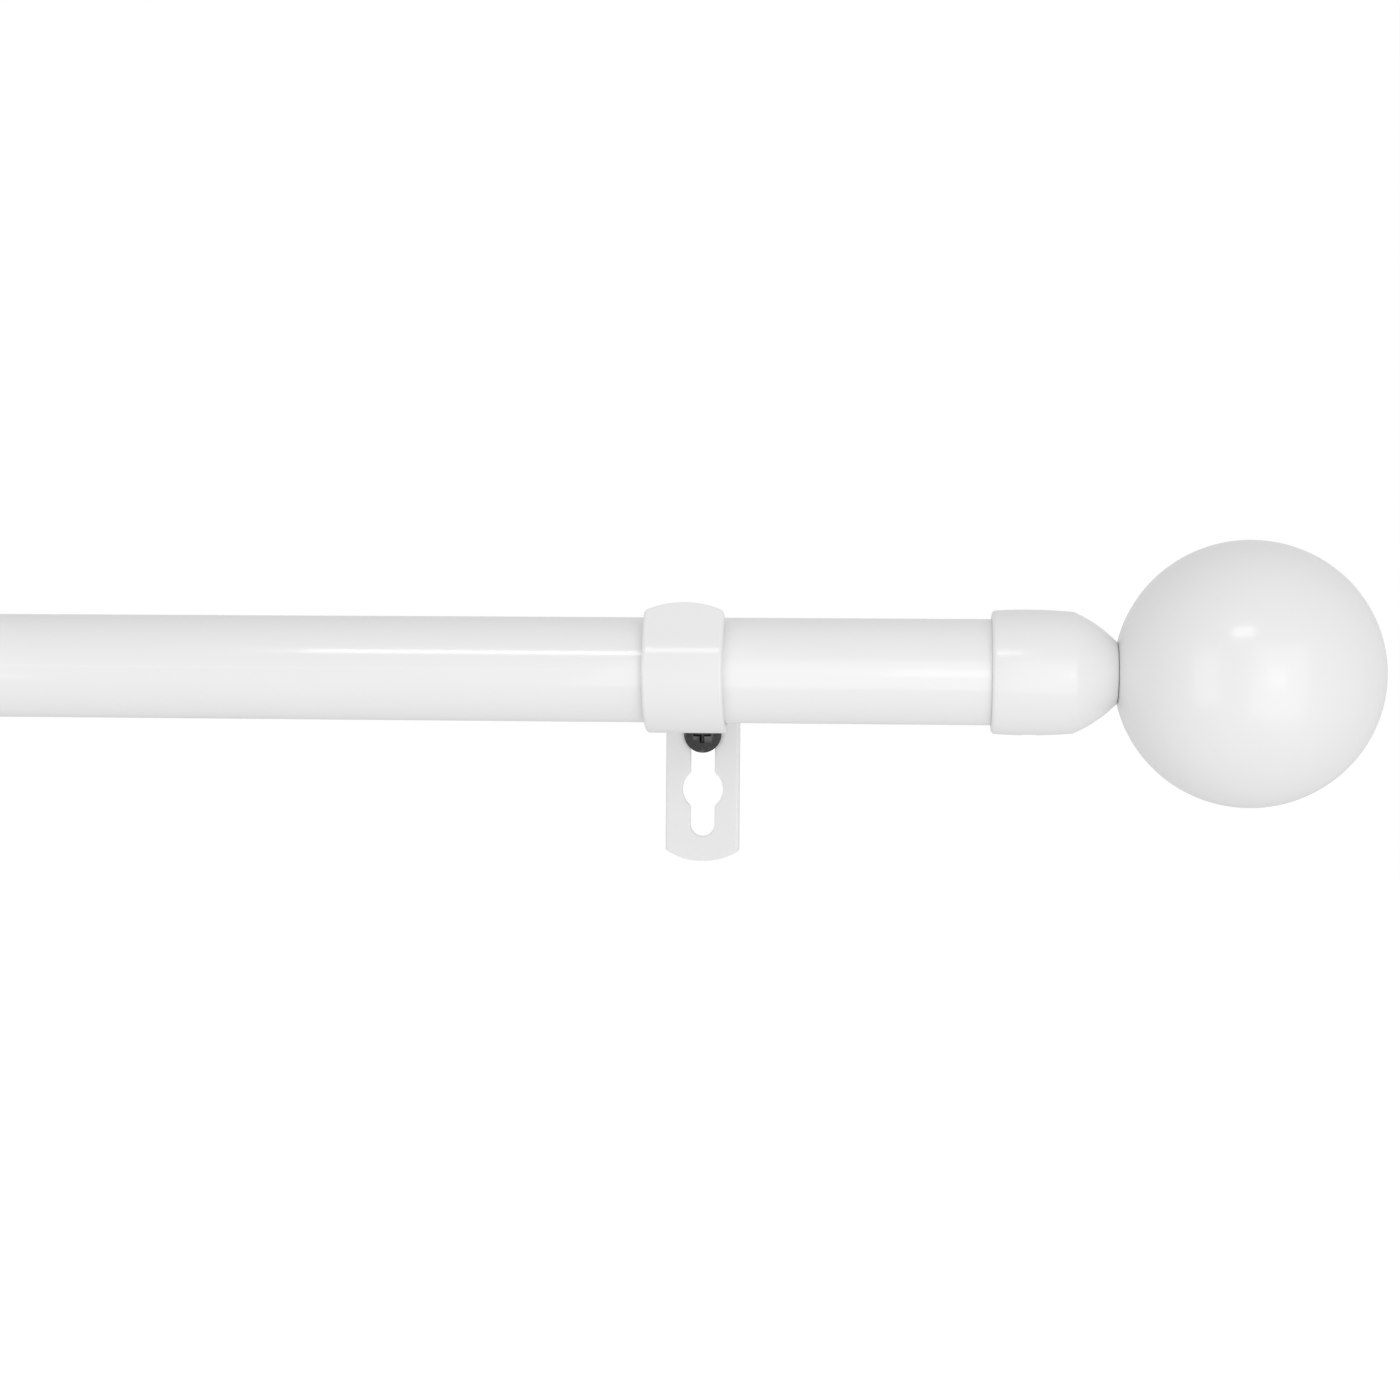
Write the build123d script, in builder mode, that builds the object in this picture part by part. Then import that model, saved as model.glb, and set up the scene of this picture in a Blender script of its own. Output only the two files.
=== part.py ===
"""Telescoping curtain rod with ball finials, resting in two bent-strip wall brackets.

The wall is the plane y = 0 and the room is on the -Y side. The rod lies along X. The origin is
on the wall, on the axis of the screw that the right bracket hangs on. Sizes are in millimetres.
"""
import os
from math import asin, cos, degrees, radians, sin, sqrt

from build123d import *

os.makedirs("parts", exist_ok=True)

# Rod: a one-inch outer tube and a seven-eighths-inch inner tube
OUTER_TUBE_R = 12.7
INNER_TUBE_R = 11.1
TUBE_WALL = 0.8
OUTER_TUBE_LENGTH = 590.0
INNER_TUBE_LENGTH = 703.0
CLOSED_LENGTH = 711.0
FIT = 0.05

# Where the rod lies: in front of the wall and above the wall screw
ROD_Y = -49.0
ROD_Z = 16.0

# Bracket: one strip, bent to a wall plate, an arm, a cradle and a front lip
STRIP_WIDTH = 19.3
STRIP_THICKNESS = 2.0
STRIP_EDGE_R = 0.9
CRADLE_GAP = 0.5
ARM_DROP = 5.0
WALL_BEND_R = 3.0
CRADLE_BEND_R = 3.5
LIP_START_ANGLE = 28.0
LIP_LENGTH = 13.0
LIP_TOP_Z = ROD_Z + 15.7
LIP_TOP_R = 24.0
LIP_CORNER_R = 1.6
PLATE_BOTTOM_Z = ROD_Z - 49.1
PLATE_BOTTOM_R = 17.8

# Keyhole in the wall plate: a wide hole between two narrow slots
WIDE_HOLE_Z = ROD_Z - 30.4
WIDE_HOLE_R = 5.3
SLOT_WIDTH = 6.3
SLOT_TOP_Z = 2.4
SLOT_BOTTOM_Z = ROD_Z - 42.6
KEYHOLE_CORNER_R = 1.2
KEYHOLE_RIM_R = 0.35

# Wall screw
SCREW_HEAD_R = 4.9
SCREW_HEAD_HEIGHT = 3.2
SCREW_HEAD_RIM = 0.9
SCREW_HEAD_UNDERCUT = 0.25
SCREW_NECK_R = 2.1
SCREW_THREAD_R = 2.3
SCREW_THREAD_LENGTH = 22.0
SCREW_TIP_LENGTH = 6.0
SCREW_HEAD_GAP = 0.2
RECESS_SPAN = 4.8
RECESS_WIDTH = 1.3
RECESS_DEPTH = 2.0

# Finial cap, measured along the rod from its open rim
CAP_RIM_X = 72.9
CAP_RIM_R = 14.7
CAP_BELLY_X = 9.5
CAP_BELLY_R = 15.0
CAP_SHOULDER_X = 19.4
CAP_SHOULDER_R = 14.5
CAP_NOSE_MID_X = 24.9
CAP_NOSE_MID_R = 11.45
CAP_LENGTH = 29.7
CAP_NOSE_R = 7.4
CAP_RIM_EDGE_R = 1.0
CAP_NOSE_EDGE_R = 0.4
CAP_BORE_R = OUTER_TUBE_R + 0.08
CAP_BORE_DEPTH = 18.0
CAP_COUNTERBORE_R = 7.0
CAP_COUNTERBORE_DEPTH = 23.0
TUBE_DEPTH_IN_CAP = 17.1

# Ball finial and the screw that holds it to the cap
BALL_R = 31.75
BALL_WALL = 1.6
BALL_SEAT_R = 7.3
BALL_SEAT_GAP = 0.1
FINIAL_SCREW_R = 2.95
FINIAL_SCREW_HEAD_R = 5.0
FINIAL_SCREW_HEAD_HEIGHT = 3.0
FINIAL_SCREW_END_X = 39.0
NUT_HOLE_R = FINIAL_SCREW_R + FIT
NUT_WIDTH = 10.0
NUT_THICKNESS = 6.0
NUT_SETBACK = 29.5

# Set screw under the cap
SET_SCREW_X = 9.0
SET_SCREW_R = 2.0
SET_SCREW_LENGTH = 1.9
SET_SCREW_KEY_WIDTH = 2.0
SET_SCREW_KEY_DEPTH = 1.1

# Plastic pieces of the sliding fit
COLLAR_SLEEVE_LENGTH = 18.0
COLLAR_LIP = 3.0
GLIDE_FLANGE = 3.0
GLIDE_SPIGOT_LENGTH = 12.0
GLIDE_BORE_R = 7.0
REDUCER_LENGTH = 16.5

# Ends of the tubes, and the plane half way between the two brackets
TUBE_RIGHT_X = CAP_RIM_X + TUBE_DEPTH_IN_CAP
TUBE_LEFT_X = TUBE_RIGHT_X - CLOSED_LENGTH
OUTER_TUBE_LEFT_X = TUBE_RIGHT_X - OUTER_TUBE_LENGTH
INNER_TUBE_RIGHT_X = TUBE_LEFT_X + INNER_TUBE_LENGTH
LEFT_BRACKET_X = TUBE_LEFT_X + TUBE_RIGHT_X
MIDDLE_PLANE = Plane.YZ.offset(LEFT_BRACKET_X / 2)

# The left cradle is raised, so the thinner tube lies level in it
LEFT_RISE = OUTER_TUBE_R - INNER_TUBE_R

ON_ROD = Location((0, ROD_Y, ROD_Z))


def ring(inner_r, outer_r, start_x, length):
    """A tube on the X axis."""
    with BuildPart() as tube:
        with BuildSketch(Plane.YZ.offset(start_x)):
            Circle(outer_r)
            Circle(inner_r, mode=Mode.SUBTRACT)
        extrude(amount=length)
    return tube.part


def bracket():
    """The bent strip, with its arched ends and its double keyhole."""
    strip_middle = -STRIP_THICKNESS / 2
    cradle_r = OUTER_TUBE_R + CRADLE_GAP + STRIP_THICKNESS / 2
    arm_z = ROD_Z - ARM_DROP
    bend_angle = degrees(asin((ARM_DROP + CRADLE_BEND_R) / (cradle_r + CRADLE_BEND_R)))
    arm_end_y = ROD_Y + (cradle_r + CRADLE_BEND_R) * cos(radians(bend_angle))
    start_z = PLATE_BOTTOM_Z - 1

    with BuildPart() as strip:
        with BuildLine(Plane.YZ) as path:
            plate = Line((strip_middle, start_z), (strip_middle, arm_z - WALL_BEND_R))
            wall_bend = JernArc(plate @ 1, plate % 1, WALL_BEND_R, 90)
            arm = Line(wall_bend @ 1, (arm_end_y, arm_z))
            down_bend = JernArc(arm @ 1, arm % 1, CRADLE_BEND_R, 90 - bend_angle)
            cradle_turn = 180 - bend_angle + LIP_START_ANGLE
            cradle = JernArc(down_bend @ 1, down_bend % 1, cradle_r, -cradle_turn)
            Line(cradle @ 1, cradle @ 1 + cradle % 1 * LIP_LENGTH)
        with BuildSketch(Plane((0, strip_middle, start_z))):
            RectangleRounded(STRIP_WIDTH, STRIP_THICKNESS, STRIP_EDGE_R)
        sweep(path=path.line)

        # Arched bottom of the wall plate
        half = STRIP_WIDTH / 2 + 1
        arc_end_z = PLATE_BOTTOM_Z + PLATE_BOTTOM_R - sqrt(PLATE_BOTTOM_R**2 - half**2)
        with BuildSketch(Plane.XZ):
            with BuildLine():
                foot = ThreePointArc((-half, arc_end_z), (0, PLATE_BOTTOM_Z), (half, arc_end_z))
                Polyline(foot @ 1, (half, start_z - 1), (-half, start_z - 1), foot @ 0)
            make_face()
        extrude(amount=2 * STRIP_THICKNESS, both=True, mode=Mode.SUBTRACT)

        # Arched, round-cornered top of the front lip
        lip_half = STRIP_WIDTH / 2
        lip_end_z = LIP_TOP_Z - LIP_TOP_R + sqrt(LIP_TOP_R**2 - lip_half**2)
        with BuildSketch(Plane.XZ.offset(-ROD_Y)):
            with Locations((0, LIP_TOP_Z)):
                Rectangle(2 * half, 2 * LIP_CORNER_R + 8)
            with BuildSketch(mode=Mode.PRIVATE) as lip:
                with BuildLine():
                    crown = ThreePointArc((-lip_half, lip_end_z), (0, LIP_TOP_Z), (lip_half, lip_end_z))
                    Polyline(crown @ 1, (lip_half, ROD_Z), (-lip_half, ROD_Z), crown @ 0)
                make_face()
                fillet(lip.vertices().group_by(Axis.Y)[-1], LIP_CORNER_R)
            add(lip.sketch, mode=Mode.SUBTRACT)
        extrude(amount=cradle_r + STRIP_THICKNESS, mode=Mode.SUBTRACT)

        # Double keyhole
        with BuildSketch(Plane.XZ) as keyhole:
            with Locations((0, (SLOT_TOP_Z + SLOT_BOTTOM_Z) / 2)):
                SlotOverall(SLOT_TOP_Z - SLOT_BOTTOM_Z, SLOT_WIDTH, rotation=90)
            with Locations((0, WIDE_HOLE_Z)):
                Circle(WIDE_HOLE_R)
            corners = keyhole.vertices().filter_by_position(
                Axis.Y, WIDE_HOLE_Z - WIDE_HOLE_R, WIDE_HOLE_Z + WIDE_HOLE_R
            )
            fillet(corners, KEYHOLE_CORNER_R)
        extrude(amount=2 * STRIP_THICKNESS, both=True, mode=Mode.SUBTRACT)
        front_rim = (
            strip.edges()
            .filter_by_position(Axis.Y, -STRIP_THICKNESS - 0.01, -STRIP_THICKNESS + 0.01)
            .filter_by_position(Axis.X, -WIDE_HOLE_R - 0.1, WIDE_HOLE_R + 0.1)
            .filter_by_position(Axis.Z, SLOT_BOTTOM_Z - 0.1, SLOT_TOP_Z + 0.1)
        )
        fillet(front_rim, KEYHOLE_RIM_R)
    return strip.part


def wall_screw():
    """Pan-head screw with a cross recess. Its thread starts at the wall."""
    head_back = -STRIP_THICKNESS - SCREW_HEAD_GAP
    head_front = head_back - SCREW_HEAD_HEIGHT
    rim_y = head_back - SCREW_HEAD_RIM
    with BuildPart() as screw:
        with BuildSketch(Plane.XY):
            with BuildLine():
                dome = TangentArc((0, head_front), (SCREW_HEAD_R, rim_y), tangent=(1, 0))
                Polyline(
                    dome @ 1,
                    (SCREW_HEAD_R - SCREW_HEAD_UNDERCUT, head_back),
                    (SCREW_NECK_R, head_back),
                    (SCREW_NECK_R, 0),
                    (SCREW_THREAD_R, 0),
                    (SCREW_THREAD_R, SCREW_THREAD_LENGTH),
                    (0, SCREW_THREAD_LENGTH + SCREW_TIP_LENGTH),
                    dome @ 0,
                )
            make_face()
        revolve(axis=Axis.Y)

        # Tapered cross recess in the head
        with BuildSketch(Plane.XZ.offset(-head_front)):
            Rectangle(RECESS_SPAN, RECESS_WIDTH)
            Rectangle(RECESS_WIDTH, RECESS_SPAN)
        extrude(amount=-RECESS_DEPTH, taper=12, mode=Mode.SUBTRACT)
    return screw.part


def finial_cap():
    """Bullet-shaped socket: its rim is at x = 0 and its nose points along +X."""
    with BuildPart() as cap:
        with BuildSketch(Plane.XY):
            with BuildLine():
                side = ThreePointArc(
                    (0, CAP_RIM_R), (CAP_BELLY_X, CAP_BELLY_R), (CAP_SHOULDER_X, CAP_SHOULDER_R)
                )
                nose = ThreePointArc(
                    side @ 1, (CAP_NOSE_MID_X, CAP_NOSE_MID_R), (CAP_LENGTH, CAP_NOSE_R)
                )
                Polyline(
                    nose @ 1,
                    (CAP_LENGTH, NUT_HOLE_R),
                    (CAP_COUNTERBORE_DEPTH, NUT_HOLE_R),
                    (CAP_COUNTERBORE_DEPTH, CAP_COUNTERBORE_R),
                    (CAP_BORE_DEPTH, CAP_COUNTERBORE_R),
                    (CAP_BORE_DEPTH, CAP_BORE_R),
                    (0, CAP_BORE_R),
                    side @ 0,
                )
            face = make_face()
            fillet(face.vertices().sort_by_distance((0, CAP_RIM_R))[0], CAP_RIM_EDGE_R)
            fillet(face.vertices().sort_by_distance((CAP_LENGTH, CAP_NOSE_R))[0], CAP_NOSE_EDGE_R)
        revolve(axis=Axis.X)

        # Threaded hole for the set screw, through the underside
        with BuildSketch(Plane.XY.offset(-CAP_BELLY_R - 1)):
            with Locations((SET_SCREW_X, 0)):
                Circle(SET_SCREW_R + FIT)
        extrude(amount=CAP_BELLY_R, mode=Mode.SUBTRACT)
    return cap.part


def ball_centre_x():
    """Distance from the cap's rim to the centre of the ball that sits on its nose."""
    return CAP_LENGTH + BALL_SEAT_GAP + sqrt(BALL_R**2 - BALL_SEAT_R**2)


def ball():
    """Hollow ball with a flat seat and a screw hole facing the cap."""
    centre_x = ball_centre_x()
    seat_x = centre_x - sqrt(BALL_R**2 - BALL_SEAT_R**2)
    inner_r = BALL_R - BALL_WALL
    with BuildPart() as shell:
        with Locations((centre_x, 0, 0)):
            Sphere(BALL_R)
            Sphere(inner_r, mode=Mode.SUBTRACT)
        with BuildSketch(Plane.YZ.offset(seat_x)):
            Circle(BALL_R)
        extrude(amount=-BALL_R, mode=Mode.SUBTRACT)
        with BuildSketch(Plane.YZ.offset(seat_x - 1)):
            Circle(NUT_HOLE_R)
        extrude(amount=2 + BALL_WALL, mode=Mode.SUBTRACT)
    return shell.part


def ball_nut():
    """Hexagon nut fixed inside the ball, behind its seat."""
    with BuildPart() as nut:
        with BuildSketch(Plane.YZ.offset(ball_centre_x() - NUT_SETBACK)):
            RegularPolygon(NUT_WIDTH / 2, 6, major_radius=False)
            Circle(NUT_HOLE_R, mode=Mode.SUBTRACT)
        extrude(amount=NUT_THICKNESS)
    return nut.part


def finial_screw():
    """Screw from inside the cap, through its nose, into the nut of the ball."""
    head_x = CAP_COUNTERBORE_DEPTH - FINIAL_SCREW_HEAD_HEIGHT
    with BuildPart() as screw:
        with BuildSketch(Plane.YZ.offset(head_x)):
            Circle(FINIAL_SCREW_HEAD_R)
        extrude(amount=FINIAL_SCREW_HEAD_HEIGHT)
        with BuildSketch(Plane.YZ.offset(CAP_COUNTERBORE_DEPTH)):
            Circle(FINIAL_SCREW_R)
        extrude(amount=FINIAL_SCREW_END_X - CAP_COUNTERBORE_DEPTH)
        with BuildSketch(Plane.YZ.offset(head_x)):
            Rectangle(RECESS_SPAN, RECESS_WIDTH)
            Rectangle(RECESS_WIDTH, RECESS_SPAN)
        extrude(amount=RECESS_DEPTH, taper=12, mode=Mode.SUBTRACT)
    return screw.part


def set_screw():
    """Grub screw with a hexagon socket that opens downwards."""
    tip_z = -OUTER_TUBE_R - FIT
    with BuildPart() as screw:
        with BuildSketch(Plane.XY.offset(tip_z)):
            with Locations((SET_SCREW_X, 0)):
                Circle(SET_SCREW_R)
        extrude(amount=-SET_SCREW_LENGTH)
        with BuildSketch(Plane.XY.offset(tip_z - SET_SCREW_LENGTH)):
            with Locations((SET_SCREW_X, 0)):
                RegularPolygon(SET_SCREW_KEY_WIDTH / 2, 6, major_radius=False)
        extrude(amount=SET_SCREW_KEY_DEPTH, mode=Mode.SUBTRACT)
    return screw.part


def collar():
    """Ring in the mouth of the outer tube; its lip covers the cut edge."""
    sleeve_r = OUTER_TUBE_R - TUBE_WALL - FIT
    bore_r = INNER_TUBE_R + FIT
    with BuildPart() as plastic:
        with BuildSketch(Plane.YZ.offset(OUTER_TUBE_LEFT_X)):
            Circle(sleeve_r)
            Circle(bore_r, mode=Mode.SUBTRACT)
        extrude(amount=COLLAR_SLEEVE_LENGTH)
        with BuildSketch(Plane.YZ.offset(OUTER_TUBE_LEFT_X)):
            Circle(OUTER_TUBE_R)
            Circle(bore_r, mode=Mode.SUBTRACT)
        extrude(amount=-COLLAR_LIP)
        fillet(plastic.edges().group_by(Axis.X)[0].sort_by(SortBy.RADIUS)[-1], COLLAR_LIP / 4)
    return plastic.part


def glide():
    """Plug on the hidden end of the inner tube that runs in the outer tube."""
    with BuildPart() as plug:
        with BuildSketch(Plane.YZ.offset(INNER_TUBE_RIGHT_X)):
            Circle(OUTER_TUBE_R - TUBE_WALL - FIT)
        extrude(amount=GLIDE_FLANGE)
        with BuildSketch(Plane.YZ.offset(INNER_TUBE_RIGHT_X)):
            Circle(INNER_TUBE_R - TUBE_WALL - FIT)
        extrude(amount=-GLIDE_SPIGOT_LENGTH)
        with BuildSketch(Plane.YZ.offset(INNER_TUBE_RIGHT_X - GLIDE_SPIGOT_LENGTH)):
            Circle(GLIDE_BORE_R)
        extrude(amount=GLIDE_SPIGOT_LENGTH + GLIDE_FLANGE, mode=Mode.SUBTRACT)
    return plug.part


def save(node, solid):
    """Label one piece and write its file."""
    solid.label = node
    export_step(solid, f"parts/{node}.step")


# Tubes and the plastic pieces between them
outer_tube = ring(OUTER_TUBE_R - TUBE_WALL, OUTER_TUBE_R, OUTER_TUBE_LEFT_X, OUTER_TUBE_LENGTH)
inner_tube = ring(INNER_TUBE_R - TUBE_WALL, INNER_TUBE_R, TUBE_LEFT_X, INNER_TUBE_LENGTH)
reducer = ring(INNER_TUBE_R + FIT, OUTER_TUBE_R, TUBE_LEFT_X, REDUCER_LENGTH)
save("outer_tube", ON_ROD * outer_tube)
save("outer_tube_collar", ON_ROD * collar())
save("inner_tube", ON_ROD * inner_tube)
save("inner_tube_glide", ON_ROD * glide())
save("left_reducer_sleeve", ON_ROD * reducer)

# Finials: the same pieces at both ends
finial_pieces = {
    "finial_cap": finial_cap(),
    "ball": ball(),
    "ball_nut": ball_nut(),
    "finial_screw": finial_screw(),
    "set_screw": set_screw(),
}
for piece_name, piece in finial_pieces.items():
    right_piece = ON_ROD * Pos(CAP_RIM_X, 0, 0) * piece
    save(f"right_{piece_name}", right_piece)
    save(f"left_{piece_name}", mirror(right_piece, about=MIDDLE_PLANE))

# Brackets and their wall screws
wall_pieces = {"bracket": bracket(), "wall_screw": wall_screw()}
for piece_name, piece in wall_pieces.items():
    save(f"right_{piece_name}", piece)
    save(f"left_{piece_name}", Pos(LEFT_BRACKET_X, 0, LEFT_RISE) * piece)
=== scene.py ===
"""Looks of the curtain rod with brackets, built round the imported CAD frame.

Lengths are in millimetres until a mesh is made; Blender objects are in metres.
"""

from math import asin, atan2, cos, degrees, hypot, pi, radians, sin, sqrt, tan

import bmesh
import bpy
from mathutils import Matrix, Vector


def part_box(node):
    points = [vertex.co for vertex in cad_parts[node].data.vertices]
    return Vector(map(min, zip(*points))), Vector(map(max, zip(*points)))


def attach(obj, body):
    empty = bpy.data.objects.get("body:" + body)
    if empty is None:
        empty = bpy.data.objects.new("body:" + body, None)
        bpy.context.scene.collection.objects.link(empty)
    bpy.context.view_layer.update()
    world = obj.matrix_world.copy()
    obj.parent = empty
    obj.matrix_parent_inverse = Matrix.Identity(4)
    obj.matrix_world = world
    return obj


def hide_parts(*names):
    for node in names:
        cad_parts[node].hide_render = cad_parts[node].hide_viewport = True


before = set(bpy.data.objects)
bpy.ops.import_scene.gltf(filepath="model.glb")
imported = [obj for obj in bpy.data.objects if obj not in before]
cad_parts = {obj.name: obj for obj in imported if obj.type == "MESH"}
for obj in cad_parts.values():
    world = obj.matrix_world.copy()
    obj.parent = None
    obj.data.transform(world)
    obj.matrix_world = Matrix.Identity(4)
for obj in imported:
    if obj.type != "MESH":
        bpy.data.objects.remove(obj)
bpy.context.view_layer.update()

MM = 0.001
ROUND = 144                     # sides of a turned piece
SMALL_ROUND = 72                # sides of a small turned piece
DRILL_ROUND = 40                # sides of a drilled hole
SHARP_ANGLE = 35                # edges that turn by more degrees stay sharp
SOFTENED_ANGLE = 40             # edges that turn by more degrees are bevelled
BEND_STEP = 4                   # degrees of bend between two cuts across the strip

# Places, from the CAD frame
tube_low, tube_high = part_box("outer_tube")
inner_low, inner_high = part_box("inner_tube")
cap_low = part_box("right_finial_cap")[0]
right_bracket_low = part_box("right_bracket")[0]
left_bracket_low, left_bracket_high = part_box("left_bracket")
ROD_Y = (tube_low.y + tube_high.y) / 2 / MM
ROD_Z = (tube_low.z + tube_high.z) / 2 / MM
TUBE_LEFT_X = tube_low.x / MM
TUBE_RIGHT_X = tube_high.x / MM
INNER_LEFT_X = inner_low.x / MM
INNER_RIGHT_X = inner_high.x / MM
CAP_RIM_X = cap_low.x / MM
MIDDLE_X = (right_bracket_low.x + left_bracket_high.x) / 2 / MM
LEFT_BRACKET_SHIFT = left_bracket_low - right_bracket_low

# Rod
OUTER_TUBE_R = 12.7
INNER_TUBE_R = 11.1
TUBE_WALL = 0.8
TUBE_EDGE = 0.15
FIT = 0.05
COLLAR_SLEEVE = 18.0
COLLAR_LIP = 3.0
COLLAR_GAP = 0.02
REDUCER_LENGTH = 16.5
GLIDE_FLANGE = 3.0
GLIDE_SPIGOT = 12.0
GLIDE_BORE_R = 7.0

# Finial, measured from the cap's rim
CAP_RIM_R = 14.7
CAP_BELLY = (9.5, 15.0)
CAP_SHOULDER = (19.4, 14.5)
CAP_NOSE_MIDDLE = (24.9, 11.45)
CAP_LENGTH = 29.7
CAP_NOSE_R = 7.4
CAP_RIM_EDGE_R = 1.0
CAP_NOSE_EDGE_R = 0.4
CAP_BORE_R = 12.78
CAP_BORE_DEPTH = 18.0
CAP_COUNTERBORE_R = 7.0
CAP_COUNTERBORE_DEPTH = 23.0
BALL_R = 31.75
BALL_WALL = 1.6
BALL_SEAT_R = 7.3
BALL_SEAT_X = 29.8
BALL_HOLE_R = 3.0
SET_SCREW_X = 9.0
SET_SCREW_HOLE_R = 2.05
FINIAL_SCREW_R = 2.95
FINIAL_SCREW_ROOT_R = 2.4
FINIAL_SCREW_PITCH = 1.0
FINIAL_SCREW_END = 39.0
FINIAL_SCREW_HEAD_X = 20.0
FINIAL_SCREW_HEAD_R = 5.0
FINIAL_SCREW_HEAD_HEIGHT = 3.0
FINIAL_SCREW_TOP_EDGE = 0.4
FINIAL_SCREW_BACK_EDGE = 0.2

# Bracket strip
STRIP_WIDTH = 19.3
STRIP_THICKNESS = 2.0
STRIP_EDGE_R = 0.9
END_EDGE_R = 0.35
KEYHOLE_EDGE_R = 0.35
CRADLE_R = 14.2
ARM_DROP = 5.0
WALL_BEND_R = 3.0
CRADLE_BEND_R = 3.5
LIP_START_ANGLE = 28.0
LIP_TOP_Z = 31.7
LIP_TOP_R = 24.0
LIP_CORNER_R = 1.6
LIP_LENGTH = 13.0
PLATE_BOTTOM_Z = -33.1
PLATE_BOTTOM_R = 17.8
PLATE_CORNER_R = 1.0
WIDE_HOLE_Z = -14.4
WIDE_HOLE_R = 5.3
SLOT_HALF_WIDTH = 3.15
SLOT_TOP_Z = 2.4
SLOT_BOTTOM_Z = -26.6
KEYHOLE_CORNER_R = 1.2

# Wall screw
HEAD_BACK_Y = -2.2
HEAD_HEIGHT = 3.2
HEAD_R = 4.9
HEAD_RIM = 0.9
HEAD_UNDERCUT = 0.25
HEAD_EDGE_R = 0.1
NECK_R = 2.1
NECK_FILLET = 0.2
NECK_RUN_OUT = 0.3
THREAD_R = 2.3
THREAD_ROOT_R = 1.6
THREAD_PITCH = 1.8
THREAD_LENGTH = 22.0
TIP_LENGTH = 6.0
TIP_MIDDLE_R = 0.96
RECESS_SPAN = 4.8
RECESS_WIDTH = 1.3
RECESS_DEPTH = 2.0
RECESS_TAPER = 12.0
SCREW_EDGE_R = 0.08

# Threads of all screws
RINGS_PER_TURN = 12
RIDGE_WIDTH = 2 / 3.4           # share of the pitch that the ridge takes


# ---------------------------------------------------------------- outlines

def arc_points(centre, radius, start, end, steps):
    """Points on an arc, angles in degrees."""
    points = []
    for i in range(steps + 1):
        a = radians(start + (end - start) * i / steps)
        points.append((centre[0] + radius * cos(a), centre[1] + radius * sin(a)))
    return points


def arc_through(a, b, c, steps):
    """Points on the arc from a through b to c."""
    d = 2 * (a[0] * (b[1] - c[1]) + b[0] * (c[1] - a[1]) + c[0] * (a[1] - b[1]))
    aa, bb, cc = (p[0] ** 2 + p[1] ** 2 for p in (a, b, c))
    centre = (
        (aa * (b[1] - c[1]) + bb * (c[1] - a[1]) + cc * (a[1] - b[1])) / d,
        (aa * (c[0] - b[0]) + bb * (a[0] - c[0]) + cc * (b[0] - a[0])) / d,
    )
    start, through, end = (degrees(atan2(p[1] - centre[1], p[0] - centre[0])) for p in (a, b, c))
    turn = (end - start) % 360
    if (through - start) % 360 > turn:
        turn -= 360
    radius = hypot(a[0] - centre[0], a[1] - centre[1])
    return arc_points(centre, radius, start, start + turn, steps)


def rounded(corners, steps=5):
    """A closed outline of (x, y, corner radius) points with its corners rounded."""
    points = []
    for i, (x, y, radius) in enumerate(corners):
        here = Vector((x, y))
        back = Vector(corners[i - 1][:2]) - here
        ahead = Vector(corners[(i + 1) % len(corners)][:2]) - here
        if radius == 0:
            points.append((x, y))
            continue
        half = back.angle(ahead) / 2
        reach = radius / tan(half)
        centre = here + (back.normalized() + ahead.normalized()).normalized() * radius / sin(half)
        first = here + back.normalized() * reach - centre
        last = here + ahead.normalized() * reach - centre
        turn = first.angle_signed(last)
        for k in range(steps + 1):
            a = -turn * k / steps
            points.append((
                centre.x + first.x * cos(a) - first.y * sin(a),
                centre.y + first.x * sin(a) + first.y * cos(a),
            ))
    return points


# ---------------------------------------------------------------- meshes

def in_scene(name, data):
    """A new object, put in the scene."""
    made = bpy.data.objects.new(name, data)
    bpy.context.scene.collection.objects.link(made)
    return made


def mesh_object(name, bm, sharp_angle=SHARP_ANGLE):
    """An object from a bmesh in millimetres, smooth but for its sharp edges."""
    bmesh.ops.recalc_face_normals(bm, faces=bm.faces)
    bmesh.ops.scale(bm, vec=(MM, MM, MM), verts=bm.verts)
    mesh = bpy.data.meshes.new(name)
    bm.to_mesh(mesh)
    bm.free()
    mesh.shade_smooth()
    mesh.set_sharp_from_angle(angle=radians(sharp_angle))
    return in_scene(name, mesh)


def turned_mesh(rings, sides, closed):
    """A turned shape about the X axis, made of (x, radius) rings; a radius may vary with the angle.

    The profile is a closed loop, or an open line that starts and ends on the axis.
    """
    bm = bmesh.new()
    loops = []
    for x, radius in rings:
        if not callable(radius) and radius < 1e-6:
            loops.append([bm.verts.new((x, 0, 0))])
            continue
        loop = []
        for i in range(sides):
            a = 2 * pi * i / sides
            r = radius(a) if callable(radius) else radius
            loop.append(bm.verts.new((x, r * cos(a), r * sin(a))))
        loops.append(loop)
    pairs = list(zip(loops, loops[1:]))
    if closed:
        pairs.append((loops[-1], loops[0]))
    for one, other in pairs:
        for i in range(sides):
            corners = [one[i % len(one)], one[(i + 1) % len(one)]]
            corners += [other[(i + 1) % len(other)], other[i % len(other)]]
            bm.faces.new(list(dict.fromkeys(corners)))
    return bm


def turned_on_rod(name, rings, x, closed=True):
    """A turned piece on the axis of the rod, its profile measured from x."""
    bm = turned_mesh(rings, ROUND, closed)
    bmesh.ops.translate(bm, vec=(x, ROD_Y, ROD_Z), verts=bm.verts)
    return mesh_object(name, bm)


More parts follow.
